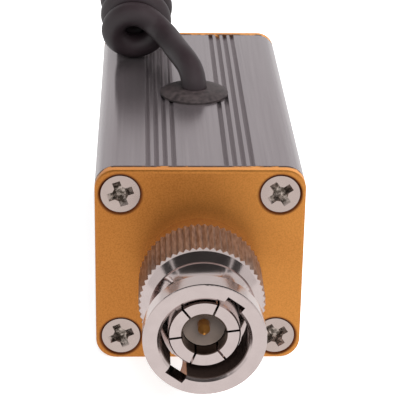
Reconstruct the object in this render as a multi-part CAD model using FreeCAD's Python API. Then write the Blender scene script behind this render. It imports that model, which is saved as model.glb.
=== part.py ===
import FreeCAD, Part
import math
import os

# In-line surge protector for a camera's coaxial cable. A square extruded case lies between two
# screwed plates. A bayonet plug stands on the front plate, the matching jack on the rear plate,
# and an earth lead leaves through the top, wound like a spring.
# Millimetres, +Z up. The plug points to -Y. The origin is the middle of the case's bottom face.

vec = FreeCAD.Vector

# Case
case_side = 25.0
case_corner = 2.5
housing_length = 50.0
wall = 1.8
cavity_corner = 1.0
plate_thickness = 1.5
plate_front_round = 0.4
plate_back_chamfer = 0.15
axis_height = case_side / 2
front_face = -(housing_length / 2 + plate_thickness)
rear_face = -front_face

# Grooves in the top, in two groups beside a flat band
groove_width = 0.62
groove_depth = 0.38
groove_pitch = 1.03
groove_first = 3.1
grooves_a_side = 4

# Screws and the channels that they run in
screw_inset = 3.05
screw_head_diameter = 4.65
screw_shank_diameter = 2.4
screw_length = 8.0
screw_head_sink = 0.15
screw_head_edge = 0.12
countersink_half_angle = 45.0
thread_clearance = 0.05
screw_hole_clearance = 0.15
recess_width = 0.95
recess_top_span = 3.15
recess_bottom_span = 1.1
recess_depth = 1.0
recess_middle_top = 1.3
recess_middle_bottom = 0.5
recess_turns = (19.0, 35.0, 23.0, 33.0)
channel_wall = 1.15
channel_mouth = 1.0

# Board rails
board_thickness = 1.2
board_end_room = 8.0
board_clearance = 0.1
rail_thickness = 1.0
rail_reach = 1.4
board_side_gap = 0.2

# Bayonet interface, shared by plug and jack
sleeve_radius = 4.8
sleeve_bore_radius = 4.08
lug_radius = 1.0
lug_circle_radius = 5.5
pin_radius = 0.675
socket_bore_radius = 0.7
dielectric_radius = 2.4
mounting_thread_radius = 4.7
plate_hole_clearance = 0.1
mounting_hole_radius = mounting_thread_radius + plate_hole_clearance

# Plug body, reaches measured outwards from the front plate's face
plug_thread_length = 7.5
plug_flange_radius = 6.4
plug_flange_thickness = 1.8
plug_neck_radius = 5.6
plug_neck_reach = 2.9
plug_bearing_radius = 5.25
collet_radius = 4.03
collet_edge = 0.15
collet_bore_radius = 2.45
collet_reach = 17.0
collet_slots = 6
collet_slot_width = 0.26
collet_slot_start = 10.6
collet_first_slot = 8.0
insulator_dish = 0.6
dish_curve_share = 0.75
insulator_reach = 15.1
pin_reach = 16.9
pin_point_length = 1.1
pin_nose = 0.16
pin_tail = 12.5
pin_collar_radius = 1.1
pin_collar_length = 0.6
insulator_rear_radius = 3.2
insulator_rear_length = 0.8
solder_tail_radius = 0.5

# Coupling nut
nut_back_reach = 3.2
nut_lip_thickness = 1.4
nut_running_clearance = 0.08
nut_chamber_radius = 6.3
nut_chamber_reach = 8.3
nut_bore_radius = 4.9
nut_mouth_radius = 5.25
nut_mouth_chamfer = 0.4
nut_front_reach = 18.35
knurl_radius = 7.29
knurl_depth = 0.28
knurl_teeth = 58
knurl_end_reach = 9.8
knurl_chamfer_fall = 0.4
knurl_chamfer_length = 0.2
knurl_blank_margin = 0.05
neck_step_reach = 11.15
neck_step_radius = 6.1
neck_step_fall = 0.12
neck_low_reach = 13.8
neck_radius = 5.62
flange_back_reach = 16.1
flange_radius = 6.86
flange_edge_round = 0.18
keyway_width = 2.3
keyway_radius = 5.78
keyway_angle = 54.0
slot_width = 2.3
slot_mouth_reach = 15.85
slot_entry_reach = 14.4
slot_drop = 2.1
slot_turn = 95.0
slot_ramp_share = 0.8
slot_steps = 6
slot_cut_inside = 0.6
slot_cut_outside = 1.0
detent_radius = 1.2
detent_reach = 13.1

# How far a quarter arc's middle stays from each side of its corner, and how far cutters pass
arc_share = 1 - math.sqrt(0.5)
cut_margin = 1.0

# Pieces on the plug between nut and body
washer_gap = 0.05
washer_thickness = 0.4
washer_clearance = 0.1
spring_height = 1.6
spring_strip = 0.3
spring_waves = 3
spring_steps = 24
ring_thickness = 0.7
ring_groove_depth = 0.4
ring_outer_radius = 6.15
ring_gap_angle = 200.0
ring_gap_width = 1.2
shoulder_gap = 0.1
gasket_thickness = 0.8
gasket_gap = 0.05

# Inside fastening of plug and jack
lock_washer_thickness = 0.5
lock_washer_radius = 6.6
lock_washer_gap = 0.8
mounting_nut_flats = 12.0
mounting_nut_thickness = 2.2
mounting_nut_clearance = 0.03
mounting_nut_edge_share = 0.6

# Jack, reaches measured outwards from the rear plate's face
jack_flange_radius = 7.0
jack_flange_thickness = 1.8
jack_neck_radius = 5.6
jack_neck_reach = 3.0
jack_reach = 14.0
jack_lug_setback = 4.9
jack_well_reach = 5.6
jack_edge_chamfer = 0.3
jack_thread_length = 7.5
jack_dielectric_setback = 0.3
jack_contact_setback = 1.0
contact_radius = 1.05
socket_depth = 5.0
contact_slot_width = 0.25
contact_slot_share = 0.8
contact_collar_step = 0.4
contact_mouth_chamfer = 0.15
contact_drill_point = 0.4
jack_insulator_edge = 0.2

# Earth tag under the jack's nut
tag_thickness = 0.4
tag_width = 3.0
tag_reach = 8.6
tag_bend_length = 4.0
tag_root_gap = 0.3
earth_link_radius = 0.4
earth_link_lap = 1.0
earth_foot_inset = 1.5

# Grommet and lead
grommet_y = 0.0
grommet_radius = 4.45
grommet_rim = 0.25
grommet_dome = 0.9
grommet_crown_radius = 2.3
grommet_bulge = 0.12
grommet_waist_radius = 3.2
grommet_inner_radius = 4.1
grommet_inner_flange = 0.9
lead_diameter = 3.3
lead_radius = lead_diameter / 2
lead_core_radius = 0.85
lead_core_clearance = 0.05
lead_strip_height = 1.0
lead_core_stub = 0.6
tie_wall = 0.8
tie_height = 2.4
tie_head = 3.0
coil_outer_diameter = 9.8

# Ring terminal at the lead's far end
terminal_ring_radius = 3.6
terminal_hole_radius = 2.15
terminal_thickness = 0.8
terminal_neck_width = 3.8
terminal_reach = 7.4
terminal_ring_offset = 1.0
terminal_neck_share = 0.6
barrel_radius = 1.9
barrel_length = 4.5
sleeve_wall = 0.45
sleeve_overlap = 4.0
sleeve_barrel_share = 0.55

# Parts on the board
gas_tube_radius = 4.0
gas_tube_length = 10.0
gas_tube_inset = 9.0
gas_tube_rim = 0.15
gas_tube_cap = 1.0
gas_tube_lift = 0.4
component_wire_radius = 0.4
wire_stub = 0.8
resistor_radius = 1.2
resistor_length = 6.0
resistor_x = 6.0
resistor_inset = 7.0
resistor_lift = 0.2
diode_size = (4.6, 3.6, 2.3)
diode_edge = 0.3
diode_tab = (0.8, 2.0, 0.4)

# Route of the lead outside the case, chosen by hand
tail_points = [
    vec(0.0, grommet_y, case_side - wall - grommet_inner_flange),
    vec(0.0, grommet_y, 28.9),
    vec(-2.6, 6.4, 30.8),
    vec(-5.6, 13.6, 32.0),
]
coil_points = [
    vec(-7.7, 13.6, 29.5),
    vec(-7.7, 21.3, 33.1),
    vec(-7.8, 29.8, 33.8),
    vec(-8.2, 37.7, 30.6),
    vec(-8.8, 43.2, 24.1),
]
drop_points = [
    vec(-11.4, 42.2, 25.8),
    vec(-11.6, 44.8, 18.5),
    vec(-11.4, 45.6, 11.0),
    vec(-10.7, 48.2, 5.8),
    vec(-8.5, 52.9, 2.8),
    vec(-3.9, 58.1, 1.9),
]
terminal_turn = -42.0
terminal_at = vec(2.8, 65.5, barrel_radius + sleeve_wall)


def outline_face(steps, outward):
    """Face in the XY plane: each step is (reach, radius), or two of them for an arc by its middle."""
    def place(step):
        return vec(step[1], outward * step[0], 0)

    start = place(steps[0])
    here = start
    edges = []
    for step in steps[1:]:
        if isinstance(step[0], tuple):
            there = place(step[1])
            edges.append(Part.Arc(here, place(step[0]), there).toShape())
        else:
            there = place(step)
            edges.append(Part.LineSegment(here, there).toShape())
        here = there
    edges.append(Part.LineSegment(here, start).toShape())
    return Part.Face(Part.Wire(edges))


def turned(steps, outward, face_y):
    """Solid turned about the connectors' axis, from reaches off a plate's outer face."""
    solid = outline_face(steps, outward).revolve(vec(0, 0, 0), vec(0, 1, 0), 360)
    solid.translate(vec(0, face_y, axis_height))
    return solid


def plug_turned(steps):
    return turned(steps, -1, front_face)


def jack_turned(steps):
    return turned(steps, 1, rear_face)


def ring(back, front, inner, outer, turn_it):
    return turn_it([(back, inner), (back, outer), (front, outer), (front, inner)])


def box(low, high):
    size = high - low
    return Part.makeBox(size.x, size.y, size.z, low)


def rod(radius, start, end):
    return Part.makeCylinder(radius, (end - start).Length, start, end - start)


def square_prism(side, corner, back_y, front_y):
    """Upright square with round corners, drawn from one Y to another."""
    half = side / 2
    low_z = axis_height - half
    blank = box(vec(-half, back_y, low_z), vec(half, front_y, low_z + side))
    along = [edge for edge in blank.Edges if abs(edge.tangentAt(edge.FirstParameter).y) > 0.99]
    return blank.makeFillet(corner, along)


def screw_places():
    half = case_side / 2 - screw_inset
    return [(-half, axis_height + half), (half, axis_height + half),
            (-half, axis_height - half), (half, axis_height - half)]


def tube_along(points, radius, name):
    """Round tube along straight runs joined by tangent arcs, with each arc's radius printed."""
    edges = []
    here = points[0]
    bends = []
    for before, corner, after in zip(points, points[1:], points[2:]):
        run_in = corner - before
        run_out = after - corner
        turn = run_in.getAngle(run_out)
        reach = 0.45 * min(run_in.Length, run_out.Length)
        bend = reach / math.tan(turn / 2)
        bends.append(round(bend, 1))
        enter = corner - vec(run_in).normalize() * reach
        leave = corner + vec(run_out).normalize() * reach
        to_middle = (enter + leave) * 0.5 - corner
        depth = math.hypot(bend, reach) - bend
        middle = corner + vec(to_middle).normalize() * depth
        edges.append(Part.LineSegment(here, enter).toShape())
        edges.append(Part.Arc(enter, middle, leave).toShape())
        here = leave
    edges.append(Part.LineSegment(here, points[-1]).toShape())
    path = Part.Wire(edges)
    start_way = points[1] - points[0]
    profile = Part.Wire(Part.makeCircle(radius, points[0], start_way))
    tube = path.makePipeShell([profile], True, False)
    expected = math.pi * radius ** 2 * path.Length
    print(name, "bend radii", bends, "length", round(path.Length, 1),
          "volume share", round(tube.Volume / expected, 4))
    return tube


def housing():
    half = housing_length / 2
    body = square_prism(case_side, case_corner, -half, half)
    body = body.cut(square_prism(case_side - 2 * wall, cavity_corner, -half, half))
    body = body.fuse(board_rails())
    channel_radius = screw_shank_diameter / 2 + thread_clearance
    outside = square_prism(case_side, case_corner, -half, half)
    for x, z in screw_places():
        boss = rod(channel_radius + channel_wall, vec(x, -half, z), vec(x, half, z))
        body = body.fuse(boss.common(outside))
    for x, z in screw_places():
        body = body.cut(rod(channel_radius, vec(x, -half, z), vec(x, half, z)))
        body = body.cut(channel_gap(x, z, channel_radius))
    for cutter in top_grooves():
        body = body.cut(cutter)
    hole_low = vec(0, grommet_y, case_side - wall)
    body = body.cut(rod(grommet_waist_radius, hole_low, vec(0, grommet_y, case_side)))
    return body.removeSplitter()


def channel_gap(x, z, channel_radius):
    """Slit that opens a screw channel towards the cavity, as an extrusion needs."""
    half = housing_length / 2
    reach = channel_radius + 2 * channel_wall
    slit = box(vec(0, -half, -channel_mouth / 2), vec(reach, half, channel_mouth / 2))
    inward = math.degrees(math.atan2(axis_height - z, -x))
    slit.rotate(vec(0, 0, 0), vec(0, 1, 0), -inward)
    slit.translate(vec(x, 0, z))
    return slit


def board_top():
    return axis_height - solder_tail_radius


def board_half():
    return housing_length / 2 - board_end_room


def board_rails():
    """Two pairs of ribs on the side walls, which hold the board's edges."""
    half = housing_length / 2
    inside = case_side / 2 - wall
    low = board_top() - board_thickness - board_clearance
    high = board_top() + board_clearance
    rails = []
    for side in (-1, 1):
        near = side * (inside - rail_reach)
        far = side * (inside + wall / 2)
        for bottom in (low - rail_thickness, high):
            left = min(near, far)
            right = max(near, far)
            rails.append(box(vec(left, -half, bottom), vec(right, half, bottom + rail_thickness)))
    return rails


def top_grooves():
    """Cutters for the V-shaped grooves."""
    half = housing_length / 2
    cutters = []
    for side in (-1, 1):
        for index in range(grooves_a_side):
            middle = side * (groove_first + index * groove_pitch)
            left = middle - groove_width / 2
            right = middle + groove_width / 2
            high = case_side + groove_depth
            corners = [vec(left, -half, case_side), vec(middle, -half, case_side - groove_depth),
                       vec(right, -half, case_side), vec(right, -half, high), vec(left, -half, high)]
            face = Part.Face(Part.makePolygon(corners + corners[:1]))
            cutters.append(face.extrude(vec(0, housing_length, 0)))
    return cutters


def end_plate(outward, face_y):
    """Plate with a rounded outer edge, a broken inner edge, four countersinks and one hole."""
    inner_y = face_y - outward * plate_thickness
    plate = square_prism(case_side, case_corner, min(face_y, inner_y), max(face_y, inner_y))
    front_edges = [edge for edge in plate.Edges if abs(edge.BoundBox.Center.y - face_y) < 0.01]
    plate = plate.makeFillet(plate_front_round, front_edges)
    back_edges = [edge for edge in plate.Edges if abs(edge.BoundBox.Center.y - inner_y) < 0.01]
    plate = plate.makeChamfer(plate_back_chamfer, back_edges)
    hole = rod(mounting_hole_radius, vec(0, inner_y, axis_height), vec(0, face_y, axis_height))
    plate = plate.cut(hole)
    head_radius = screw_head_diameter / 2
    slope = math.tan(math.radians(countersink_half_angle))
    shank_hole = screw_shank_diameter / 2 + screw_hole_clearance
    top_depth = screw_head_sink + screw_head_edge
    mouth = head_radius + top_depth * slope
    cone_depth = top_depth + (head_radius - shank_hole) / slope
    for x, z in screw_places():
        steps = [(0, 0), (0, mouth), (-cone_depth, shank_hole), (-plate_thickness, shank_hole),
                 (-plate_thickness, 0)]
        cutter = outline_face(steps, outward).revolve(vec(0, 0, 0), vec(0, 1, 0), 360)
        cutter.translate(vec(x, face_y, z))
        plate = plate.cut(cutter)
    return plate


def cross_recess(outward):
    """Tapered cross with a wider four-sided middle, cut from the head's face inwards."""
    squares = []
    for reach, y in ((recess_middle_top, 0), (recess_middle_bottom, -outward * recess_depth)):
        corners = [vec(reach, y, 0), vec(0, y, reach), vec(-reach, y, 0), vec(0, y, -reach)]
        squares.append(Part.makePolygon(corners + corners[:1]))
    arms = [Part.makeLoft(squares, True, True)]
    for turn in (0, 90):
        corners = [vec(-recess_top_span / 2, 0, 0), vec(recess_top_span / 2, 0, 0),
                   vec(recess_bottom_span / 2, -outward * recess_depth, 0),
                   vec(-recess_bottom_span / 2, -outward * recess_depth, 0)]
        arm = Part.Face(Part.makePolygon(corners + corners[:1])).extrude(vec(0, 0, recess_width))
        arm.translate(vec(0, 0, -recess_width / 2))
        arm.rotate(vec(0, 0, 0), vec(0, 1, 0), turn)
        arms.append(arm)
    return arms[0].fuse(arms[1:])


def screws(outward, face_y):
    """Four countersunk screws, each turned to where it stopped."""
    head_radius = screw_head_diameter / 2
    shank_radius = screw_shank_diameter / 2
    slope = math.tan(math.radians(countersink_half_angle))
    cone = (head_radius - shank_radius) / slope
    steps = [(0, 0), (0, head_radius), (-screw_head_edge, head_radius),
             (-screw_head_edge - cone, shank_radius), (-screw_length, shank_radius),
             (-screw_length, 0)]
    blank = outline_face(steps, outward).revolve(vec(0, 0, 0), vec(0, 1, 0), 360)
    blank = blank.cut(cross_recess(outward))
    placed = []
    for (x, z), turn in zip(screw_places(), recess_turns):
        screw = blank.copy()
        screw.rotate(vec(0, 0, 0), vec(0, 1, 0), outward * turn)
        screw.translate(vec(x, face_y - outward * screw_head_sink, z))
        placed.append(screw)
    return Part.makeCompound(placed)


def ring_back_reach():
    """Where the ring begins: washer and spring lie behind it, with three gaps round them."""
    gaps = 3 * washer_gap
    return nut_back_reach + nut_lip_thickness + washer_thickness + spring_height + gaps


def shoulder_reach():
    return nut_chamber_reach - shoulder_gap


def plug_body():
    """Turned body: mounting thread, flange, bearing for the nut, ring groove and slotted collet."""
    groove_back = ring_back_reach()
    groove_front = groove_back + ring_thickness
    groove_radius = plug_bearing_radius - ring_groove_depth
    body = plug_turned([
        (-plug_thread_length, collet_bore_radius), (-plug_thread_length, mounting_thread_radius),
        (0, mounting_thread_radius), (0, plug_flange_radius),
        (plug_flange_thickness, plug_flange_radius), (plug_flange_thickness, plug_neck_radius),
        (plug_neck_reach, plug_neck_radius), (plug_neck_reach, plug_bearing_radius),
        (groove_back, plug_bearing_radius), (groove_back, groove_radius),
        (groove_front, groove_radius), (groove_front, plug_bearing_radius),
        (shoulder_reach(), plug_bearing_radius), (shoulder_reach(), collet_radius),
        (collet_reach - collet_edge, collet_radius), (collet_reach, collet_radius - collet_edge),
        (collet_reach, collet_bore_radius),
    ])
    for index in range(collet_slots):
        slit = box(vec(0, front_face - collet_reach, -collet_slot_width / 2),
                   vec(collet_radius + cut_margin, front_face - collet_slot_start, collet_slot_width / 2))
        slit.rotate(vec(0, 0, 0), vec(0, 1, 0), -collet_first_slot - index * 360 / collet_slots)
        slit.translate(vec(0, 0, axis_height))
        body = body.cut(slit)
    return body


def plug_insulator():
    rear = -plug_thread_length - insulator_rear_length
    dish_middle = (insulator_reach - insulator_dish * dish_curve_share, (dielectric_radius + pin_radius) / 2)
    return plug_turned([
        (rear, pin_radius), (rear, insulator_rear_radius),
        (-plug_thread_length, insulator_rear_radius), (-plug_thread_length, dielectric_radius),
        (insulator_reach, dielectric_radius),
        (dish_middle, (insulator_reach - insulator_dish, pin_radius)),
    ])


def plug_pin():
    """Centre pin with a pointed tip, a collar behind the insulator and a solder tail."""
    collar_front = -plug_thread_length - insulator_rear_length
    collar_back = collar_front - pin_collar_length
    return plug_turned([
        (-pin_tail, 0), (-pin_tail, solder_tail_radius), (collar_back, solder_tail_radius),
        (collar_back, pin_collar_radius), (collar_front, pin_collar_radius),
        (collar_front, pin_radius), (pin_reach - pin_point_length, pin_radius),
        (pin_reach - pin_nose / 2, pin_nose), (pin_reach, pin_nose / 2), (pin_reach, 0),
    ])


def plug_gasket():
    back = shoulder_reach()
    inner = collet_radius
    outer = nut_bore_radius - gasket_gap
    edge = gasket_thickness / 4
    return plug_turned([
        (back, inner), (back, outer), (back + gasket_thickness - edge, outer),
        (back + gasket_thickness, outer - edge), (back + gasket_thickness, inner + edge),
        (back + gasket_thickness - edge, inner),
    ])


def knurl_prism():
    """Star-shaped prism with straight pointed teeth."""
    corners = []
    for index in range(2 * knurl_teeth):
        angle = math.pi * index / knurl_teeth
        radius = knurl_radius - knurl_depth * (index % 2)
        corners.append(vec(radius * math.cos(angle), 0, radius * math.sin(angle)))
    star = Part.Face(Part.makePolygon(corners + corners[:1]))
    prism = star.extrude(vec(0, -(nut_front_reach - nut_back_reach), 0))
    prism.translate(vec(0, front_face - nut_back_reach, axis_height))
    return prism


def radial_box(angle, width, inner, outer, back, front):
    """Box that points outwards from the connectors' axis at an angle, seen from the front."""
    solid = box(vec(inner, front_face - front, -width / 2),
                vec(outer, front_face - back, width / 2))
    solid.rotate(vec(0, 0, 0), vec(0, 1, 0), -angle)
    solid.translate(vec(0, 0, axis_height))
    return solid


def radial_rod(angle, reach, radius, inner, outer):
    turn = math.radians(angle)
    way = vec(math.cos(turn), 0, math.sin(turn))
    middle = vec(0, front_face - reach, axis_height)
    return rod(radius, middle + way * inner, middle + way * outer)


def cam_slot(entry_angle):
    """Cutter for one bayonet slot: mouth behind the flange, ramp, and round detent hole."""
    inner = nut_bore_radius - slot_cut_inside
    outer = neck_radius + slot_cut_outside
    mean_radius = (nut_bore_radius + neck_radius) / 2
    entry_back = slot_entry_reach - slot_width / 2
    cutters = [radial_box(entry_angle, slot_width, inner, outer, entry_back, slot_mouth_reach)]
    ramp_turn = slot_turn * slot_ramp_share
    sections = []
    for index in range(slot_steps + 1):
        turned_by = slot_turn * index / slot_steps
        phase = min(turned_by / ramp_turn, 1.0) * math.pi / 2
        middle = slot_entry_reach - slot_drop * math.sin(phase)
        fall = slot_drop * math.cos(phase) * math.pi / 2 / math.radians(ramp_turn)
        half = slot_width / 2 * math.hypot(1.0, fall / mean_radius)
        angle = math.radians(entry_angle - turned_by)
        corners = []
        for reach, radius in ((middle - half, inner), (middle - half, outer),
                              (middle + half, outer), (middle + half, inner)):
            corners.append(vec(radius * math.cos(angle), front_face - reach,
                               axis_height + radius * math.sin(angle)))
        sections.append(Part.makePolygon(corners + corners[:1]))
    cutters.append(Part.makeLoft(sections, True, True))
    end_angle = entry_angle - slot_turn
    ramp_end = slot_entry_reach - slot_drop
    cutters.append(radial_rod(end_angle, ramp_end, slot_width / 2, inner, outer))
    cutters.append(radial_rod(end_angle, detent_reach, detent_radius, inner, outer))
    return cutters


def level_arc_middle(end, low):
    """Middle of the arc between end and low that runs level, along the axis, at low."""
    run = end[0] - low[0]
    rise = end[1] - low[1]
    radius = (run * run + rise * rise) / (2 * rise)
    half_turn = math.asin(run / radius) / 2
    return (low[0] + radius * math.sin(half_turn), low[1] + radius * (1 - math.cos(half_turn)))


def coupling_nut():
    """Knurled nut with keyways through its front flange and a cam slot behind each."""
    lip_bore = plug_bearing_radius + nut_running_clearance
    lip_front = nut_back_reach + nut_lip_thickness
    blank = knurl_radius + knurl_blank_margin
    neck_back = (neck_step_reach, neck_step_radius - neck_step_fall)
    neck_low = (neck_low_reach, neck_radius)
    neck_front = (flange_back_reach, flange_radius)
    edge = flange_edge_round
    edge_middle = (nut_front_reach - edge * arc_share, flange_radius - edge * arc_share)
    nut = plug_turned([
        (nut_back_reach, lip_bore), (nut_back_reach, blank), (knurl_end_reach, blank),
        (knurl_end_reach + knurl_chamfer_length, knurl_radius - knurl_chamfer_fall),
        (neck_step_reach, neck_step_radius), neck_back,
        (level_arc_middle(neck_back, neck_low), neck_low),
        (level_arc_middle(neck_front, neck_low), neck_front),
        (nut_front_reach - edge, flange_radius),
        (edge_middle, (nut_front_reach, flange_radius - edge)),
        (nut_front_reach, nut_mouth_radius),
        (nut_front_reach - nut_mouth_chamfer, nut_bore_radius),
        (nut_chamber_reach, nut_bore_radius), (nut_chamber_reach, nut_chamber_radius),
        (lip_front, nut_chamber_radius), (lip_front, lip_bore),
    ])
    nut = nut.common(knurl_prism())
    for entry in (keyway_angle, keyway_angle + 180):
        nut = nut.cut(radial_box(entry, keyway_width, nut_bore_radius - slot_cut_inside,
                                 keyway_radius, slot_entry_reach, nut_front_reach))
        for cutter in cam_slot(entry):
            nut = nut.cut(cutter)
    return nut


def washer_back_reach():
    return nut_back_reach + nut_lip_thickness


def thrust_washer():
    back = washer_back_reach()
    return ring(back, back + washer_thickness, plug_bearing_radius + washer_clearance,
                nut_chamber_radius - washer_clearance, plug_turned)


def wave_spring():
    """Flat strip bent into waves round a circle, between thrust washer and retaining ring."""
    back = washer_back_reach() + washer_thickness + washer_gap
    swing = (spring_height - spring_strip) / 2
    inner = plug_bearing_radius + washer_clearance
    outer = nut_chamber_radius - 2 * washer_clearance
    edges = []
    for radius in (inner, outer):
        points = []
        for index in range(spring_steps):
            angle = 2 * math.pi * index / spring_steps
            reach = back + swing * (1 + math.cos(spring_waves * angle))
            points.append(vec(radius * math.cos(angle), front_face - reach,
                              axis_height + radius * math.sin(angle)))
        curve = Part.BSplineCurve()
        curve.interpolate(Points=points, PeriodicFlag=True)
        edges.append(curve.toShape())
    sheet = Part.makeRuledSurface(edges[0], edges[1])
    return Part.Solid(sheet.extrude(vec(0, -spring_strip, 0)))


def retaining_ring():
    """Split ring, sprung into the body's groove."""
    back = ring_back_reach()
    blank = ring(back, back + ring_thickness, plug_bearing_radius - ring_groove_depth,
                 ring_outer_radius, plug_turned)
    return blank.cut(radial_box(ring_gap_angle, ring_gap_width, 0, ring_outer_radius + cut_margin,
                                back, back + ring_thickness))


def lock_washer(turn_it):
    """Split spring washer, drawn flat as it is when tightened."""
    back = -plate_thickness - lock_washer_thickness
    blank = ring(back, -plate_thickness, mounting_hole_radius, lock_washer_radius, turn_it)
    middle = blank.BoundBox.Center
    low_z = axis_height - lock_washer_radius - cut_margin
    gap = box(vec(-lock_washer_gap / 2, middle.y - lock_washer_thickness, low_z),
              vec(lock_washer_gap / 2, middle.y + lock_washer_thickness, axis_height))
    return blank.cut(gap)


def mounting_nut(outward, face_y, seat):
    """Hexagon nut on a connector's thread, its seat a reach inside the plate's outer face."""
    corner = mounting_nut_flats / math.sqrt(3)
    corners = []
    for index in range(6):
        angle = math.radians(60 * index)
        corners.append(vec(corner * math.cos(angle), 0, corner * math.sin(angle)))
    face = Part.Face(Part.makePolygon(corners + corners[:1]))
    nut = face.extrude(vec(0, -outward * mounting_nut_thickness, 0))
    nut.translate(vec(0, face_y - outward * seat, axis_height))
    bore = mounting_thread_radius + mounting_nut_clearance
    ends = nut.BoundBox
    nut = nut.cut(rod(bore, vec(0, ends.YMin, axis_height), vec(0, ends.YMax, axis_height)))
    half_edge = (corner - mounting_nut_flats / 2) * mounting_nut_edge_share
    barrel = turned([(-seat, 0), (-seat, corner - half_edge), (-seat - half_edge, corner),
                     (-seat - mounting_nut_thickness + half_edge, corner),
                     (-seat - mounting_nut_thickness, corner - half_edge),
                     (-seat - mounting_nut_thickness, 0)], outward, face_y)
    return nut.common(barrel)


def jack_body():
    """Turned body with mounting thread, flange, outer sleeve and two bayonet lugs."""
    edge = jack_edge_chamfer
    body = jack_turned([
        (-jack_thread_length, dielectric_radius), (-jack_thread_length, mounting_thread_radius),
        (0, mounting_thread_radius), (0, jack_flange_radius),
        (jack_flange_thickness - edge, jack_flange_radius),
        (jack_flange_thickness, jack_flange_radius - edge),
        (jack_flange_thickness, jack_neck_radius), (jack_neck_reach - edge, jack_neck_radius),
        (jack_neck_reach, jack_neck_radius - edge), (jack_neck_reach, sleeve_radius),
        (jack_reach - edge, sleeve_radius), (jack_reach, sleeve_radius - edge),
        (jack_reach, sleeve_bore_radius + edge / 2), (jack_reach - edge / 2, sleeve_bore_radius),
        (jack_well_reach, sleeve_bore_radius), (jack_well_reach, dielectric_radius),
    ])
    lug_y = rear_face + jack_reach - jack_lug_setback
    root = (sleeve_bore_radius + sleeve_radius) / 2
    for side in (-1, 1):
        lug = rod(lug_radius, vec(side * root, lug_y, axis_height),
                  vec(side * lug_circle_radius, lug_y, axis_height))
        body = body.fuse(lug)
    return body


def jack_insulator():
    rear = -jack_thread_length - insulator_rear_length
    top = jack_reach - jack_dielectric_setback
    edge = jack_insulator_edge
    return jack_turned([
        (rear, contact_radius), (rear, insulator_rear_radius),
        (-jack_thread_length, insulator_rear_radius), (-jack_thread_length, dielectric_radius),
        (top - edge, dielectric_radius), (top, dielectric_radius - edge), (top, contact_radius),
    ])


def jack_contact():
    """Socket contact with two crossed slits, a collar behind the insulator and a solder tail."""
    collar_front = -jack_thread_length - insulator_rear_length
    collar_back = collar_front - pin_collar_length
    mouth = jack_reach - jack_contact_setback
    collar = contact_radius + contact_collar_step
    chamfer = contact_mouth_chamfer
    contact = jack_turned([
        (-pin_tail, 0), (-pin_tail, solder_tail_radius), (collar_back, solder_tail_radius),
        (collar_back, collar), (collar_front, collar),
        (collar_front, contact_radius), (mouth, contact_radius),
        (mouth, socket_bore_radius + chamfer), (mouth - chamfer, socket_bore_radius),
        (mouth - socket_depth, socket_bore_radius),
        (mouth - socket_depth - contact_drill_point, 0),
    ])
    half = contact_slot_width / 2
    low = rear_face + mouth - socket_depth * contact_slot_share
    high = rear_face + mouth
    for reach_x, reach_z in ((contact_radius * 2, half), (half, contact_radius * 2)):
        contact = contact.cut(box(vec(-reach_x, low, axis_height - reach_z),
                                  vec(reach_x, high, axis_height + reach_z)))
    return contact


def earth_tag():
    """Solder tag under the jack's nut, bent forwards over the board."""
    back = plate_thickness + lock_washer_thickness
    blank = ring(-back - tag_thickness, -back, mounting_hole_radius, lock_washer_radius, jack_turned)
    top_y = rear_face - back
    root_z = axis_height + mounting_hole_radius + tag_root_gap
    tongue = box(vec(-tag_width / 2, top_y - tag_thickness, root_z),
                 vec(tag_width / 2, top_y, axis_height + tag_reach))
    shelf = box(vec(-tag_width / 2, top_y - tag_bend_length, axis_height + tag_reach - tag_thickness),
                vec(tag_width / 2, top_y, axis_height + tag_reach))
    return blank.fuse([tongue, shelf]).removeSplitter()


def bent_wire(radius, points):
    """Wire along straight runs with sharp corners."""
    path = Part.makePolygon(points)
    profile = Part.Wire(Part.makeCircle(radius, points[0], points[1] - points[0]))
    return path.makePipeShell([profile], True, False, 1)


def earth_link():
    """Bare wire from the tag down to the board's rear edge, beside the jack's solder tail."""
    x = tag_width / 2 - earth_link_radius
    high = axis_height + tag_reach - tag_thickness - earth_link_radius
    shelf_end = rear_face - plate_thickness - lock_washer_thickness - tag_bend_length
    foot_y = board_half() - earth_foot_inset
    return bent_wire(earth_link_radius, [vec(x, foot_y, board_top()), vec(x, foot_y, high),
                                         vec(x, shelf_end + earth_link_lap, high)])


def circuit_board():
    inside = case_side / 2 - wall - board_side_gap
    half = board_half()
    top = board_top()
    board = box(vec(-inside, -half, top - board_thickness), vec(inside, half, top))
    hole = lead_core_radius + lead_core_clearance
    board = board.cut(rod(hole, vec(0, grommet_y, top - board_thickness), vec(0, grommet_y, top)))
    return board


def gas_tube():
    """Three-electrode gas discharge tube, lying across the board on its three wires."""
    half = gas_tube_length / 2
    cap = gas_tube_cap
    body = gas_tube_radius - gas_tube_rim
    corners = [(-half, 0), (-half, gas_tube_radius), (-half + cap, gas_tube_radius),
               (-half + cap, body), (-cap / 2, body), (-cap / 2, gas_tube_radius),
               (cap / 2, gas_tube_radius), (cap / 2, body), (half - cap, body),
               (half - cap, gas_tube_radius), (half, gas_tube_radius), (half, 0)]
    corners = [vec(x, radius, 0) for x, radius in corners]
    face = Part.Face(Part.makePolygon(corners + corners[:1]))
    tube = face.revolve(vec(0, 0, 0), vec(1, 0, 0), 360)
    middle_z = board_top() + gas_tube_radius + gas_tube_lift
    middle_y = gas_tube_inset - board_half()
    tube.translate(vec(0, middle_y, middle_z))
    for x in (-half + cap / 2, 0, half - cap / 2):
        foot = vec(x, middle_y, board_top())
        tube = tube.fuse(rod(component_wire_radius, foot, vec(x, middle_y, middle_z)))
    return tube.removeSplitter()


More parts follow.
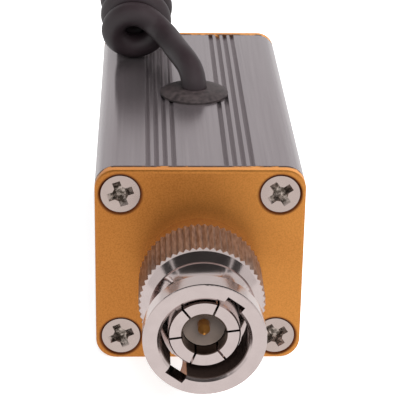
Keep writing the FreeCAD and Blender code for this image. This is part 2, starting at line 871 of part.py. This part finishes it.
def resistor(x):
    """Axial resistor along the case, its wires bent down on to the board."""
    lift = board_top() + resistor_radius + resistor_lift
    middle_y = board_half() - resistor_inset
    body = rod(resistor_radius, vec(x, middle_y - resistor_length / 2, lift),
               vec(x, middle_y + resistor_length / 2, lift))
    for end in (-1, 1):
        face_y = middle_y + end * resistor_length / 2
        knee_y = face_y + end * wire_stub
        body = body.fuse(bent_wire(component_wire_radius, [
            vec(x, face_y, lift), vec(x, knee_y, lift), vec(x, knee_y, board_top())]))
    return body.removeSplitter()


def series_resistors():
    return Part.makeCompound([resistor(-resistor_x), resistor(resistor_x)])


def clamp_diode():
    """Moulded surface-mount diode with a tab at each end."""
    middle_y = board_half() - resistor_inset
    wide, deep, high = diode_size
    tab_long, tab_wide, tab_high = diode_tab
    low = board_top()
    body = box(vec(-wide / 2, middle_y - deep / 2, low),
               vec(wide / 2, middle_y + deep / 2, low + high))
    top_edges = [edge for edge in body.Edges if edge.BoundBox.ZMin > low + high / 2]
    body = body.makeChamfer(diode_edge, top_edges)
    for side in (-1, 1):
        inner = side * (wide / 2 - tab_long / 2)
        outer = side * (wide / 2 + tab_long)
        body = body.fuse(box(vec(min(inner, outer), middle_y - tab_wide / 2, low),
                             vec(max(inner, outer), middle_y + tab_wide / 2, low + tab_high)))
    return body.removeSplitter()


def grommet():
    """Rubber grommet turned about the lead: low dome outside, waist in the wall, inner flange."""
    top = case_side
    inner_top = top - wall
    inner_low = inner_top - grommet_inner_flange
    hole = lead_radius
    crown = top + grommet_dome
    points = [vec(hole, 0, inner_low), vec(grommet_inner_radius, 0, inner_low),
              vec(grommet_inner_radius, 0, inner_top),
              vec(grommet_waist_radius, 0, inner_top), vec(grommet_waist_radius, 0, top),
              vec(grommet_radius, 0, top), vec(grommet_radius, 0, top + grommet_rim)]
    edges = [Part.LineSegment(a, b).toShape() for a, b in zip(points, points[1:])]
    shoulder = vec(grommet_crown_radius, 0, crown)
    bulge = (points[-1] + shoulder) * 0.5 + vec(grommet_bulge, 0, grommet_bulge)
    edges.append(Part.Arc(points[-1], bulge, shoulder).toShape())
    edges.append(Part.LineSegment(shoulder, vec(hole, 0, crown)).toShape())
    edges.append(Part.LineSegment(vec(hole, 0, crown), points[0]).toShape())
    solid = Part.Face(Part.Wire(edges)).revolve(vec(0, 0, 0), vec(0, 0, 1), 360)
    solid.translate(vec(0, grommet_y, 0))
    return solid


def lead_inner():
    low = board_top() + lead_strip_height
    return rod(lead_radius, vec(0, grommet_y, low), tail_points[0])


def lead_core():
    low = board_top() - board_thickness - lead_core_stub
    return rod(lead_core_radius, vec(0, grommet_y, low),
               vec(0, grommet_y, board_top() + lead_strip_height))


def lead_tie():
    """Nylon tie drawn tight round the lead under the grommet."""
    high = case_side - wall - grommet_inner_flange
    low = high - tie_height
    band = rod(lead_radius + tie_wall, vec(0, grommet_y, low), vec(0, grommet_y, high))
    half = tie_head / 2
    head = box(vec(lead_radius + tie_wall / 2, grommet_y - half, low),
               vec(lead_radius + tie_head, grommet_y + half, high))
    tie = band.fuse(head)
    return tie.cut(rod(lead_radius, vec(0, grommet_y, low), vec(0, grommet_y, high))).removeSplitter()


def placed_terminal(solid):
    solid.rotate(vec(0, 0, 0), vec(0, 0, 1), terminal_turn)
    solid.translate(terminal_at)
    return solid


def ring_terminal():
    """Ring terminal that lies on the floor, its barrel crimped on the lead's core."""
    floor = -terminal_at.z
    barrel = rod(barrel_radius, vec(0, 0, 0), vec(0, barrel_length, 0))
    neck = box(vec(-terminal_neck_width / 2, barrel_length * terminal_neck_share, floor),
               vec(terminal_neck_width / 2, barrel_length + terminal_reach / 2,
                   floor + terminal_thickness))
    ring_middle = vec(0, barrel_length + terminal_reach / 2 + terminal_ring_offset, floor)
    disc = rod(terminal_ring_radius, ring_middle, ring_middle + vec(0, 0, terminal_thickness))
    hole = rod(terminal_hole_radius, ring_middle, ring_middle + vec(0, 0, terminal_thickness))
    solid = barrel.fuse([neck, disc]).cut(hole)
    return placed_terminal(solid.removeSplitter())


def terminal_sleeve():
    """Shrink sleeve over the barrel and the lead's end."""
    outer = barrel_radius + sleeve_wall
    back = vec(0, -sleeve_overlap, 0)
    front = vec(0, barrel_length * sleeve_barrel_share, 0)
    solid = rod(outer, back, front)
    solid = solid.cut(rod(barrel_radius, vec(0, 0, 0), front))
    solid = solid.cut(rod(lead_radius, back, vec(0, 0, 0)))
    return placed_terminal(solid)


def lead_drop():
    """The lead from the coil down to the floor and into its terminal."""
    turn = math.radians(terminal_turn)
    forward = vec(-math.sin(turn), math.cos(turn), 0)
    sleeve_back = terminal_at - forward * sleeve_overlap
    points = drop_points + [sleeve_back, terminal_at]
    return tube_along(points, lead_radius, "lead_drop")


parts = {
    "housing": housing(),
    "front_plate": end_plate(-1, front_face),
    "rear_plate": end_plate(1, rear_face),
    "front_screws": screws(-1, front_face),
    "rear_screws": screws(1, rear_face),
    "plug_body": plug_body(),
    "plug_insulator": plug_insulator(),
    "plug_pin": plug_pin(),
    "plug_gasket": plug_gasket(),
    "coupling_nut": coupling_nut(),
    "thrust_washer": thrust_washer(),
    "wave_spring": wave_spring(),
    "retaining_ring": retaining_ring(),
    "plug_lock_washer": lock_washer(plug_turned),
    "plug_mounting_nut": mounting_nut(-1, front_face, plate_thickness + lock_washer_thickness),
    "jack_body": jack_body(),
    "jack_insulator": jack_insulator(),
    "jack_contact": jack_contact(),
    "jack_lock_washer": lock_washer(jack_turned),
    "jack_mounting_nut": mounting_nut(1, rear_face,
                                      plate_thickness + lock_washer_thickness + tag_thickness),
    "earth_tag": earth_tag(),
    "earth_link": earth_link(),
    "circuit_board": circuit_board(),
    "gas_tube": gas_tube(),
    "series_resistors": series_resistors(),
    "clamp_diode": clamp_diode(),
    "grommet": grommet(),
    "lead_inner": lead_inner(),
    "lead_core": lead_core(),
    "lead_tie": lead_tie(),
    "lead_tail": tube_along(tail_points, lead_radius, "lead_tail"),
    "lead_coil": tube_along(coil_points, coil_outer_diameter / 2, "lead_coil"),
    "lead_drop": lead_drop(),
    "ring_terminal": ring_terminal(),
    "terminal_sleeve": terminal_sleeve(),
}

os.makedirs("parts", exist_ok=True)
for name, shape in parts.items():
    shape.exportStep("parts/" + name + ".step")
    print(name, "solids", len(shape.Solids), "volume", round(shape.Volume, 2), shape.isValid())
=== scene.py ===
import math
import bmesh
import bpy
from mathutils import Matrix, Vector


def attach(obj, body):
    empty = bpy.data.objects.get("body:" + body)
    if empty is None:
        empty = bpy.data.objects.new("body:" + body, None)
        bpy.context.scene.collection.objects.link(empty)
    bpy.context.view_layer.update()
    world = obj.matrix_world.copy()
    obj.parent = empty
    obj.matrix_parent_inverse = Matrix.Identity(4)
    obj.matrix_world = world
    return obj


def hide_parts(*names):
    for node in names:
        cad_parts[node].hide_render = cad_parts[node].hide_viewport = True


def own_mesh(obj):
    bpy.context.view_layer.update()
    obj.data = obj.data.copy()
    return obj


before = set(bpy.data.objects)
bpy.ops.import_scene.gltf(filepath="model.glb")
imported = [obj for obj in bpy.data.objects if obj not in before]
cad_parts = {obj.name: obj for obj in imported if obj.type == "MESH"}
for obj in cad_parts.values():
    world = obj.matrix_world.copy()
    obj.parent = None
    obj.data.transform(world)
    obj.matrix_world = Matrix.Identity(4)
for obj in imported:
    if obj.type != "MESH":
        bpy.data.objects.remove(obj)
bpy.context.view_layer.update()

mm = 0.001
scene = bpy.context.scene
scene.view_settings.view_transform = "Standard"


def addObject(name, data):
    made = bpy.data.objects.new(name, data)
    scene.collection.objects.link(made)
    return made


# camera, from the photograph's perspective: millimetres and degrees
camera = {
    "place": (-6.94, -197.85, 96.75),
    "pitch": 23.76,
    "yaw": 2.3,
    "roll": 0.97,
    "lens": 143.0,
    "sensor": 36.0,
    "nearest": 10.0,
}


def aimCamera():
    data = bpy.data.cameras.new("photoCamera")
    data.lens = camera["lens"]
    data.sensor_width = camera["sensor"]
    data.clip_start = camera["nearest"] * mm
    eye = addObject("photoCamera", data)
    pitch, yaw, roll = (math.radians(camera[name]) for name in ("pitch", "yaw", "roll"))
    level = math.cos(pitch)
    forward = Vector((math.sin(yaw) * level, math.cos(yaw) * level, -math.sin(pitch)))
    right = Vector((math.cos(yaw), -math.sin(yaw), 0.0))
    up = right.cross(forward)
    rightRolled = math.cos(roll) * right + math.sin(roll) * up
    upRolled = -math.sin(roll) * right + math.cos(roll) * up
    turn = Matrix((rightRolled, upRolled, -forward)).transposed()
    eye.matrix_world = Matrix.Translation(Vector(camera["place"]) * mm) @ turn.to_4x4()
    scene.camera = eye
    print("camera placed")


aimCamera()


# small helpers for shader nodes, which pass outputs on from one node to the next
def feed(tree, entry, value):
    # value is another node's output, a number or a colour
    if isinstance(value, bpy.types.NodeSocket):
        tree.links.new(value, entry)
    else:
        entry.default_value = value


def node(tree, kind, **values):
    # a value is for the entry of its name, or else for the node's own setting
    made = tree.nodes.new(kind)
    for name, value in values.items():
        if name in made.inputs:
            feed(tree, made.inputs[name], value)
        else:
            setattr(made, name, value)
    return made


def newMaterial(name):
    material = bpy.data.materials.new(name)
    material.use_nodes = True
    tree = material.node_tree
    return material, tree, tree.nodes["Principled BSDF"]


def emptyTree(owner):
    owner.use_nodes = True
    owner.node_tree.nodes.clear()
    return owner.node_tree


def srgb(red, green, blue):
    def linear(value):
        value = value / 255.0
        return value / 12.92 if value <= 0.04045 else ((value + 0.055) / 1.055) ** 2.4
    return (linear(red), linear(green), linear(blue), 1.0)


def noise(tree, scale, detail=3.0, roughness=0.6, stretch=(1.0, 1.0, 1.0)):
    place = node(tree, "ShaderNodeTexCoord").outputs["Object"]
    pattern = node(tree, "ShaderNodeMapping", Scale=stretch, Vector=place).outputs["Vector"]
    made = node(tree, "ShaderNodeTexNoise", Scale=scale, Detail=detail, Roughness=roughness,
                Vector=pattern)
    return made.outputs["Fac"]


def ramp(tree, source, *stops):
    made = node(tree, "ShaderNodeValToRGB", Fac=source)
    for element, (place, colour) in zip(made.color_ramp.elements, stops):
        element.position = place
        element.color = srgb(*colour)
    return made.outputs["Color"]


def span(tree, source, low, high, fromLow=0.0, fromHigh=1.0):
    made = node(tree, "ShaderNodeMapRange", Value=source)
    made.inputs["From Min"].default_value = fromLow
    made.inputs["From Max"].default_value = fromHigh
    made.inputs["To Min"].default_value = low
    made.inputs["To Max"].default_value = high
    return made.outputs["Result"]


def bump(tree, source, shader, strength, distance):
    made = node(tree, "ShaderNodeBump", Strength=strength, Distance=distance, Height=source)
    feed(tree, shader.inputs["Normal"], made.outputs["Normal"])


def sums(tree, operation, first, second=0.0, clamp=False):
    made = node(tree, "ShaderNodeMath", operation=operation, use_clamp=clamp)
    feed(tree, made.inputs[0], first)
    feed(tree, made.inputs[1], second)
    return made.outputs[0]


def blendColour(tree, share, first, second):
    # the colour entries and output of this node share their names with others
    made = node(tree, "ShaderNodeMix", data_type="RGBA")
    for entry, value in ((0, share), (6, first), (7, second)):
        feed(tree, made.inputs[entry], value)
    return made.outputs[2]


def stain(tree, shader, share, colour):
    # lays another colour over the one that the shader has
    base = shader.inputs["Base Color"]
    feed(tree, base, blendColour(tree, share, base.links[0].from_socket, colour))


def placeParts(tree):
    place = node(tree, "ShaderNodeTexCoord").outputs["Object"]
    return node(tree, "ShaderNodeSeparateXYZ", Vector=place).outputs


def distance(tree, first, second):
    squares = sums(tree, "ADD", sums(tree, "MULTIPLY", first, first),
                   sums(tree, "MULTIPLY", second, second))
    return sums(tree, "SQRT", squares)


# where the finishes change, in metres: heights, places along y and radii
axisHeight = 0.0125
screwAside = 0.00945
changes = {
    "screwGapShade": (0.0025, 0.0028),
    "plateBack": (0.02534, 0.02552),
    "plateFront": (0.02618, 0.0263),
    "headFront": (0.02605, 0.0263),
    "knurlFront": (-0.0364, -0.0362),
    "knurlBack": (-0.0299, -0.0301),
    "nutBore": (0.00496, 0.00506),
    "colletRecess": (0.00256, 0.00262),
    "insulatorShade": (0.0115, 0.0145),
}


def insideBore(tree, parts, name):
    # 1 within the change's first radius from the plug's axis, 0 beyond its second
    raised = sums(tree, "SUBTRACT", parts["Z"], axisHeight)
    return span(tree, distance(tree, parts["X"], raised), 1.0, 0.0, *changes[name])


# materials
def anodisedGrey():
    material, tree, shader = newMaterial("anodisedGrey")
    lines = noise(tree, 2600.0, 4.0, 0.65, (1.0, 0.012, 1.0))
    soft = noise(tree, 160.0, 3.0, 0.5, (1.0, 0.25, 1.0))
    colour = ramp(tree, lines, (0.25, (138, 128, 131)), (0.75, (153, 143, 146)))
    feed(tree, shader.inputs["Base Color"], colour)
    feed(tree, shader.inputs["Roughness"], span(tree, soft, 0.20, 0.26))
    shader.inputs["Metallic"].default_value = 0.8
    bump(tree, lines, shader, 0.12, 0.00004)
    return material


def anodisedGold():
    material, tree, shader = newMaterial("anodisedGold")
    grain = noise(tree, 5200.0, 2.0)
    parts = placeParts(tree)

    # cloudy dye with a fine speckle, and painted light: paler towards the right, where more
    # light falls
    cloud = noise(tree, 90.0, 3.0, 0.5)
    paintedLightByMetre = 22.0
    speckShare = 0.35
    dyeAndPaintedLight = sums(tree, "ADD", cloud, sums(tree, "MULTIPLY", parts["X"], paintedLightByMetre))
    tone = ramp(tree, dyeAndPaintedLight, (0.25, (190, 120, 54)), (0.75, (216, 145, 71)))
    speck = ramp(tree, grain, (0.3, (176, 110, 50)), (0.6, (228, 155, 79)))
    feed(tree, shader.inputs["Base Color"], blendColour(tree, speckShare, tone, speck))

    # painted shade: dark brown rings round the four screws, where the countersink gaps lie in
    # shadow
    aside = sums(tree, "SUBTRACT", sums(tree, "ABSOLUTE", parts["X"]), screwAside)
    raised = sums(tree, "SUBTRACT", parts["Z"], axisHeight)
    above = sums(tree, "SUBTRACT", sums(tree, "ABSOLUTE", raised), screwAside)
    ring = span(tree, distance(tree, aside, above), 1.0, 0.0, *changes["screwGapShade"])
    stain(tree, shader, ring, srgb(118, 62, 28))

    # chips along the edge next to the case
    depth = sums(tree, "ABSOLUTE", parts["Y"])
    back = span(tree, depth, 1.0, 0.0, *changes["plateBack"])
    chipped = span(tree, noise(tree, 420.0, 4.0, 0.7), 0.0, 1.0, 0.42, 0.5)
    stain(tree, shader, sums(tree, "MULTIPLY", back, chipped), srgb(70, 44, 30))

    feed(tree, shader.inputs["Roughness"], span(tree, grain, 0.42, 0.52))
    metal = span(tree, depth, 0.3, 0.88, *changes["plateFront"])
    feed(tree, shader.inputs["Metallic"], metal)
    bump(tree, grain, shader, 0.35, 0.00003)
    return material


def turnedNickel(name="turnedNickel", tint=(203, 188, 185), roughness=0.12):
    material, tree, shader = newMaterial(name)
    blur = noise(tree, 700.0, 3.0, 0.5)
    tintSpread, roughSpread = 6, 0.06
    paler = [min(255, value + tintSpread) for value in tint]
    feed(tree, shader.inputs["Base Color"], ramp(tree, blur, (0.3, tint), (0.7, paler)))
    feed(tree, shader.inputs["Roughness"], span(tree, blur, roughness, roughness + roughSpread))
    shader.inputs["Metallic"].default_value = 1.0
    bump(tree, noise(tree, 4200.0, 2.0, 0.5), shader, 0.05, 0.00002)
    return material, tree, shader


def knurledNickel():
    # smooth nut with a duller toothed band and a dark bore; the band's darker brown is wear
    # specks with painted shade and painted reflection, and the bore's dark brown is painted
    # shade
    material, tree, shader = turnedNickel("knurledNickel")
    parts = placeParts(tree)
    bandRoughness, bandDullness, boreDullness = 0.14, 0.22, 0.4
    behind = span(tree, parts["Y"], 0.0, 1.0, *changes["knurlFront"])
    ahead = span(tree, parts["Y"], 0.0, 1.0, *changes["knurlBack"])
    band = sums(tree, "MULTIPLY", behind, ahead)
    # wear specks, with painted shade and painted reflection of the shaded plate in the darker
    # lines between the teeth
    wearAndPaintedShade = noise(tree, 4200.0, stretch=(1.0, 0.16, 1.0))
    stain(tree, shader, band, ramp(tree, wearAndPaintedShade, (0.34, (128, 108, 98)), (0.7, (180, 161, 151))))
    # painted shade: dark brown inside the bore, where shade falls
    bore = insideBore(tree, parts, "nutBore")
    stain(tree, shader, bore, srgb(84, 68, 62))
    smooth = shader.inputs["Roughness"].links[0].from_socket
    rough = sums(tree, "ADD", smooth, sums(tree, "MULTIPLY", band, bandRoughness))
    feed(tree, shader.inputs["Roughness"], rough)
    dull = sums(tree, "MAXIMUM", sums(tree, "MULTIPLY", band, bandDullness),
                sums(tree, "MULTIPLY", bore, boreDullness))
    feed(tree, shader.inputs["Metallic"], sums(tree, "SUBTRACT", 1.0, dull))
    return material


def plugNickel():
    # bright collet whose recess round the insulator is darkened with painted shade
    material, tree, shader = turnedNickel("plugNickel")
    recessShade = insideBore(tree, placeParts(tree), "colletRecess")
    stain(tree, shader, recessShade, srgb(74, 60, 52))
    return material


def screwNickel():
    # bright head; inside the cross, painted shade with painted glints
    material, tree, shader = turnedNickel("screwNickel", (192, 175, 168), 0.24)
    depth = sums(tree, "ABSOLUTE", placeParts(tree)["Y"])
    inside = span(tree, depth, 1.0, 0.0, *changes["headFront"])
    shadeAndGlints = noise(tree, 1900.0)
    dull = ramp(tree, shadeAndGlints, (0.44, (84, 74, 65)), (0.64, (206, 191, 181)))
    stain(tree, shader, inside, dull)
    metal = span(tree, depth, 0.75, 1.0, *changes["headFront"])
    feed(tree, shader.inputs["Metallic"], metal)
    return material


def platedGold():
    material, tree, shader = newMaterial("platedGold")
    blur = noise(tree, 1500.0)
    colour = ramp(tree, blur, (0.3, (214, 142, 66)), (0.7, (230, 164, 88)))
    feed(tree, shader.inputs["Base Color"], colour)
    feed(tree, shader.inputs["Roughness"], span(tree, blur, 0.34, 0.44))
    shader.inputs["Metallic"].default_value = 0.85
    return material


def plastic(name, dark, light, scale=600.0, low=0.4, high=0.55, strength=0.1):
    material, tree, shader = newMaterial(name)
    blur = noise(tree, scale, 4.0)
    feed(tree, shader.inputs["Base Color"], ramp(tree, blur, (0.3, dark), (0.7, light)))
    feed(tree, shader.inputs["Roughness"], span(tree, blur, low, high))
    bump(tree, noise(tree, scale * 5.0, 2.0), shader, strength, 0.00003)
    return material, tree, shader


def waxyInsulator():
    # dished face of a white insulator; its grey-brown colour is painted shade inside the
    # collet, darker still in the upper part, which lies in shade
    material, tree, shader = plastic("waxyInsulator", (118, 104, 95), (131, 116, 107))
    paintedUpperShade = span(tree, placeParts(tree)["Z"], 0.0, 0.75, *changes["insulatorShade"])
    stain(tree, shader, paintedUpperShade, srgb(74, 66, 60))
    return material


finishes = {
    "grey": anodisedGrey(),
    "orange": anodisedGold(),
    "nickel": turnedNickel()[0],
    "nut": knurledNickel(),
    "plug": plugNickel(),
    "steel": turnedNickel("springSteel", (150, 148, 150), 0.28)[0],
    "screw": screwNickel(),
    "tin": turnedNickel("tinPlate", (200, 199, 202), 0.3)[0],
    "gold": platedGold(),
    "insulator": waxyInsulator(),
    "gasket": plastic("gasketSilicone", (150, 140, 135), (165, 155, 150))[0],
    "grommet": plastic("grommetRubber", (34, 29, 30), (70, 61, 61), 1700.0, 0.5, 0.65, 0.3)[0],
    "lead": plastic("leadSheath", (38, 29, 32), (46, 37, 40), 500.0, 0.45, 0.55, 0.15)[0],
    "copper": turnedNickel("copperCore", (200, 120, 80), 0.35)[0],
    "board": plastic("boardLaminate", (34, 84, 52), (40, 96, 60))[0],
    "ceramic": plastic("tubeCeramic", (222, 216, 208), (232, 227, 220))[0],
    "resistor": plastic("resistorLacquer", (190, 170, 130), (202, 184, 146))[0],
    "diode": plastic("diodeMoulding", (34, 34, 36), (42, 42, 44))[0],
    "nylon": plastic("tieNylon", (216, 210, 196), (228, 222, 208))[0],
}

nodeFinish = {
    "housing": "grey", "front_plate": "orange", "rear_plate": "orange",
    "front_screws": "screw", "rear_screws": "screw",
    "plug_body": "plug", "plug_insulator": "insulator", "plug_pin": "gold",
    "plug_gasket": "gasket", "coupling_nut": "nut", "thrust_washer": "steel",
    "retaining_ring": "steel", "plug_lock_washer": "steel", "plug_mounting_nut": "nickel",
    "jack_body": "nickel", "jack_insulator": "insulator", "jack_contact": "gold",
    "jack_lock_washer": "steel", "jack_mounting_nut": "nickel", "earth_tag": "tin",
    "earth_link": "tin", "circuit_board": "board", "gas_tube": "ceramic",
    "series_resistors": "resistor", "clamp_diode": "diode", "grommet": "grommet",
    "lead_inner": "lead", "lead_core": "copper", "lead_tie": "nylon",
    "ring_terminal": "tin", "terminal_sleeve": "lead", "wave_spring": "steel",
}


def dressNodes():
    for name, finish in nodeFinish.items():
        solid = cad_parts[name]
        solid.data.materials.clear()
        solid.data.materials.append(finishes[finish])
    print("solids dressed")


dressNodes()


# earth lead: tail, wound coil and drop are one cord
lead = {
    "diameter": 3.3,
    "tail": [(0.0, 0.0, 22.3), (0.0, 0.0, 25.2), (-0.1, 0.3, 26.8), (-0.5, 1.3, 28.1),
             (-1.3, 3.1, 28.8), (-2.1, 5.4, 29.1), (-2.8, 7.8, 29.35), (-3.55, 9.9, 29.75),
             (-4.45, 11.1, 30.3), (-5.2, 11.65, 30.9)],
    "axis": [(-7.7, 12.3, 28.95), (-7.7, 20.9, 32.9), (-7.8, 29.8, 33.8), (-7.9, 37.7, 30.6),
             (-8.0, 43.2, 24.1)],
    "drop": [(-11.3, 42.3, 22.2), (-11.0, 42.6, 19.0), (-10.9, 44.2, 14.6), (-10.9, 45.9, 10.4),
             (-10.5, 48.2, 5.8), (-8.5, 52.9, 2.8), (-3.9, 58.1, 1.9), (0.1, 62.5, 2.35),
             (2.8, 65.5, 2.35)],
    "firstRadius": 3.1,
    "laterRadius": 3.45,
    "pitch": 3.5,
    "turnPoints": 20,
    "startAngle": 55.0,
    "endAngle": 180.0,
    "firstLean": 13.0,
    "evenTurns": 2.0,
    "alongSteps": 8,
    "roundSteps": 6,
}


def splineObject(name, points, radius=0.0):
    data = bpy.data.curves.new(name, "CURVE")
    data.dimensions = "3D"
    data.resolution_u = lead["alongSteps"]
    line = data.splines.new("NURBS")
    line.points.add(len(points) - 1)
    for spot, place in zip(line.points, points):
        spot.co = (place[0] * mm, place[1] * mm, place[2] * mm, 1.0)
    line.order_u = 3
    line.use_endpoint_u = True
    if radius:
        data.bevel_depth = radius * mm
        data.bevel_resolution = lead["roundSteps"]
        data.use_fill_caps = True
    return addObject(name, data)


def splinePlaces(points):
    guide = splineObject("guide", points)
    mesh = bpy.data.meshes.new_from_object(guide)
    places = [vertex.co.copy() / mm for vertex in mesh.vertices]
    bpy.data.objects.remove(guide)
    bpy.data.meshes.remove(mesh)
    return places


def coilTurns():
    # points on a circle that is carried along the axis, turning as it goes
    places = splinePlaces(lead["axis"])
    travelled = [0.0]
    for here, there in zip(places, places[1:]):
        travelled.append(travelled[-1] + (there - here).length)
    spare = ((lead["endAngle"] - lead["startAngle"]) / 360.0) % 1.0
    turns = round(travelled[-1] / lead["pitch"] - spare) + spare
    print("coil turns", round(turns, 2))
    count = int(turns * lead["turnPoints"])
    # the spline cuts inside its points, so they lie a little further out
    swell = 1.0 / math.cos(math.pi / lead["turnPoints"])
    growth = lead["laterRadius"] - lead["firstRadius"]
    side = Vector((1.0, 0.0, 0.0))
    rounding = 1e-9
    result = []
    for index in range(count + 1):
        along = travelled[-1] * index / count
        step = max(i for i in range(len(travelled) - 1) if travelled[i] <= along + rounding)
        share = (along - travelled[step]) / (travelled[step + 1] - travelled[step])
        middle = places[step].lerp(places[step + 1], share)
        ahead = (places[step + 1] - places[step]).normalized()
        across = (side - ahead * side.dot(ahead)).normalized()
        above = across.cross(ahead)
        done = turns * index / count
        angle = math.radians(lead["startAngle"]) + 2.0 * math.pi * done
        settled = min(1.0, done / lead["evenTurns"])
        lean = math.radians(lead["firstLean"]) * (1.0 - settled)
        radius = swell * (lead["firstRadius"] + growth * settled)
        upright = above * math.cos(lean) + ahead * math.sin(lean)
        result.append(middle + (across * math.cos(angle) + upright * math.sin(angle)) * radius)
    return result


def makeLead():
    points = [Vector(p) for p in lead["tail"]] + coilTurns() + [Vector(p) for p in lead["drop"]]
    cord = splineObject("earthLead", points, lead["diameter"] / 2.0)
    cord.data.materials.append(finishes["lead"])
    measured = splinePlaces(points)
    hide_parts("lead_tail", "lead_coil", "lead_drop")
    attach(cord, "case")


makeLead()


# wave spring that flattens as the nut is pulled forward; seat is the front plate's face
spring = {"inner": 5.35, "outer": 6.1, "seat": -26.5, "back": 5.05, "middle": 12.5,
          "height": 1.6, "strip": 0.3, "waves": 3, "steps": 96}


def makeSpring():
    mesh = bmesh.new()
    swing = (spring["height"] - spring["strip"]) / 2.0
    loop = []
    for radius in (spring["inner"], spring["outer"]):
        ring = []
        for index in range(spring["steps"]):
            angle = 2.0 * math.pi * index / spring["steps"]
            reach = spring["back"] + swing * (1.0 + math.cos(spring["waves"] * angle))
            place = (radius * math.cos(angle), spring["seat"] - reach,
                     spring["middle"] + radius * math.sin(angle))
            ring.append(mesh.verts.new([value * mm for value in place]))
        loop += [mesh.edges.new(pair) for pair in zip(ring, ring[1:] + ring[:1])]
    bmesh.ops.bridge_loops(mesh, edges=loop)
    flat = bmesh.ops.extrude_face_region(mesh, geom=mesh.faces[:])
    moved = [part for part in flat["geom"] if isinstance(part, bmesh.types.BMVert)]
    bmesh.ops.translate(mesh, verts=moved, vec=(0.0, -spring["strip"] * mm, 0.0))
    bmesh.ops.recalc_face_normals(mesh, faces=mesh.faces)
    data = bpy.data.meshes.new("flatSpring")
    mesh.to_mesh(data)
    mesh.free()
    made = addObject("flatSpring", data)
    data.materials.append(finishes["steel"])
    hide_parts("wave_spring")
    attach(made, "case")
    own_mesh(made)
    print("spring made")


makeSpring()


# plain studio in metres: floor, white surroundings, dark cards and soft lamps
studio = {
    "floorSide": 4.0,
    "paper": (0.8, 0.8, 0.8, 1.0),
    "paperGlow": 0.72,
    "daylight": 0.3,
    "white": 1.0,
    "card": (0.02, 0.018, 0.018, 1.0),
    "lampTarget": (0.0, 0.0, 0.012),
}

darkCards = {
    "overheadCard": {"width": 1.1, "depth": 1.15, "place": (0.0, 0.225, 0.6)},
    "rightCard": {"width": 0.43, "depth": 1.15, "place": (0.835, 0.225, 0.6)},
    "leftCard": {"width": 0.43, "depth": 1.15, "place": (-0.835, 0.225, 0.6)},
}

lamps = {
    "keyLamp": {"place": (0.3, 0.12, 0.56), "size": 0.6, "power": 5.6},
    "fillLamp": {"place": (0.12, -0.5, 0.42), "size": 0.5, "power": 3.4},
}


def stageSheet(name, width, depth, place):
    mesh = bmesh.new()
    bmesh.ops.create_grid(mesh, x_segments=1, y_segments=1, size=0.5)
    bmesh.ops.scale(mesh, vec=(width, depth, 1.0), verts=mesh.verts)
    data = bpy.data.meshes.new(name)
    mesh.to_mesh(data)
    mesh.free()
    made = addObject(name, data)
    made.location = place
    return made


def whiteRays(tree, path):
    # 1 for the camera, mirrors and glass, which see plain white
    direct = sums(tree, "ADD", path["Is Camera Ray"], path["Is Glossy Ray"])
    return sums(tree, "ADD", direct, path["Is Transmission Ray"], clamp=True)


def mixShaders(tree, share, first, second):
    made = node(tree, "ShaderNodeMixShader")
    for entry, value in enumerate((share, first, second)):
        feed(tree, made.inputs[entry], value)
    return made.outputs[0]


def whiteFloor():
    # the camera sees paper that glows a little, so that the object's shadow shows on it
    floor = stageSheet("floor", studio["floorSide"], studio["floorSide"], (0.0, 0.0, 0.0))
    material = bpy.data.materials.new("whiteFloor")
    tree = emptyTree(material)
    path = node(tree, "ShaderNodeLightPath").outputs
    paper = node(tree, "ShaderNodeBsdfDiffuse", Color=studio["paper"]).outputs[0]
    white = node(tree, "ShaderNodeEmission", Strength=studio["white"]).outputs[0]
    glow = node(tree, "ShaderNodeEmission", Strength=studio["paperGlow"]).outputs[0]
    shaded = node(tree, "ShaderNodeAddShader")
    feed(tree, shaded.inputs[0], glow)
    feed(tree, shaded.inputs[1], paper)
    mirrored = mixShaders(tree, whiteRays(tree, path), paper, white)
    surface = mixShaders(tree, path["Is Camera Ray"], mirrored, shaded.outputs[0])
    node(tree, "ShaderNodeOutputMaterial", Surface=surface)
    floor.data.materials.append(material)


def surroundings():
    world = bpy.data.worlds.new("studio")
    scene.world = world
    tree = emptyTree(world)
    path = node(tree, "ShaderNodeLightPath").outputs
    dim = node(tree, "ShaderNodeBackground", Strength=studio["daylight"]).outputs[0]
    white = node(tree, "ShaderNodeBackground", Strength=studio["white"]).outputs[0]
    surface = mixShaders(tree, whiteRays(tree, path), dim, white)
    node(tree, "ShaderNodeOutputWorld", Surface=surface)


def hangCards():
    # dark sheets, for the dark bands in the polished metal
    material, _, shader = newMaterial("darkCard")
    shader.inputs["Base Color"].default_value = studio["card"]
    for name, facts in darkCards.items():
        card = stageSheet(name, facts["width"], facts["depth"], facts["place"])
        card.data.materials.append(material)
        card.visible_camera = False
        card.visible_diffuse = False
        card.visible_shadow = False


def addLamps():
    for name, facts in lamps.items():
        data = bpy.data.lights.new(name, "AREA")
        data.energy = facts["power"]
        data.size = facts["size"]
        made = addObject(name, data)
        made.location = facts["place"]
        made.visible_glossy = False
        aim = Vector(studio["lampTarget"]) - Vector(facts["place"])
        made.rotation_euler = aim.to_track_quat("-Z", "Y").to_euler()


whiteFloor()
hangCards()
surroundings()
addLamps()
print("studio lit")
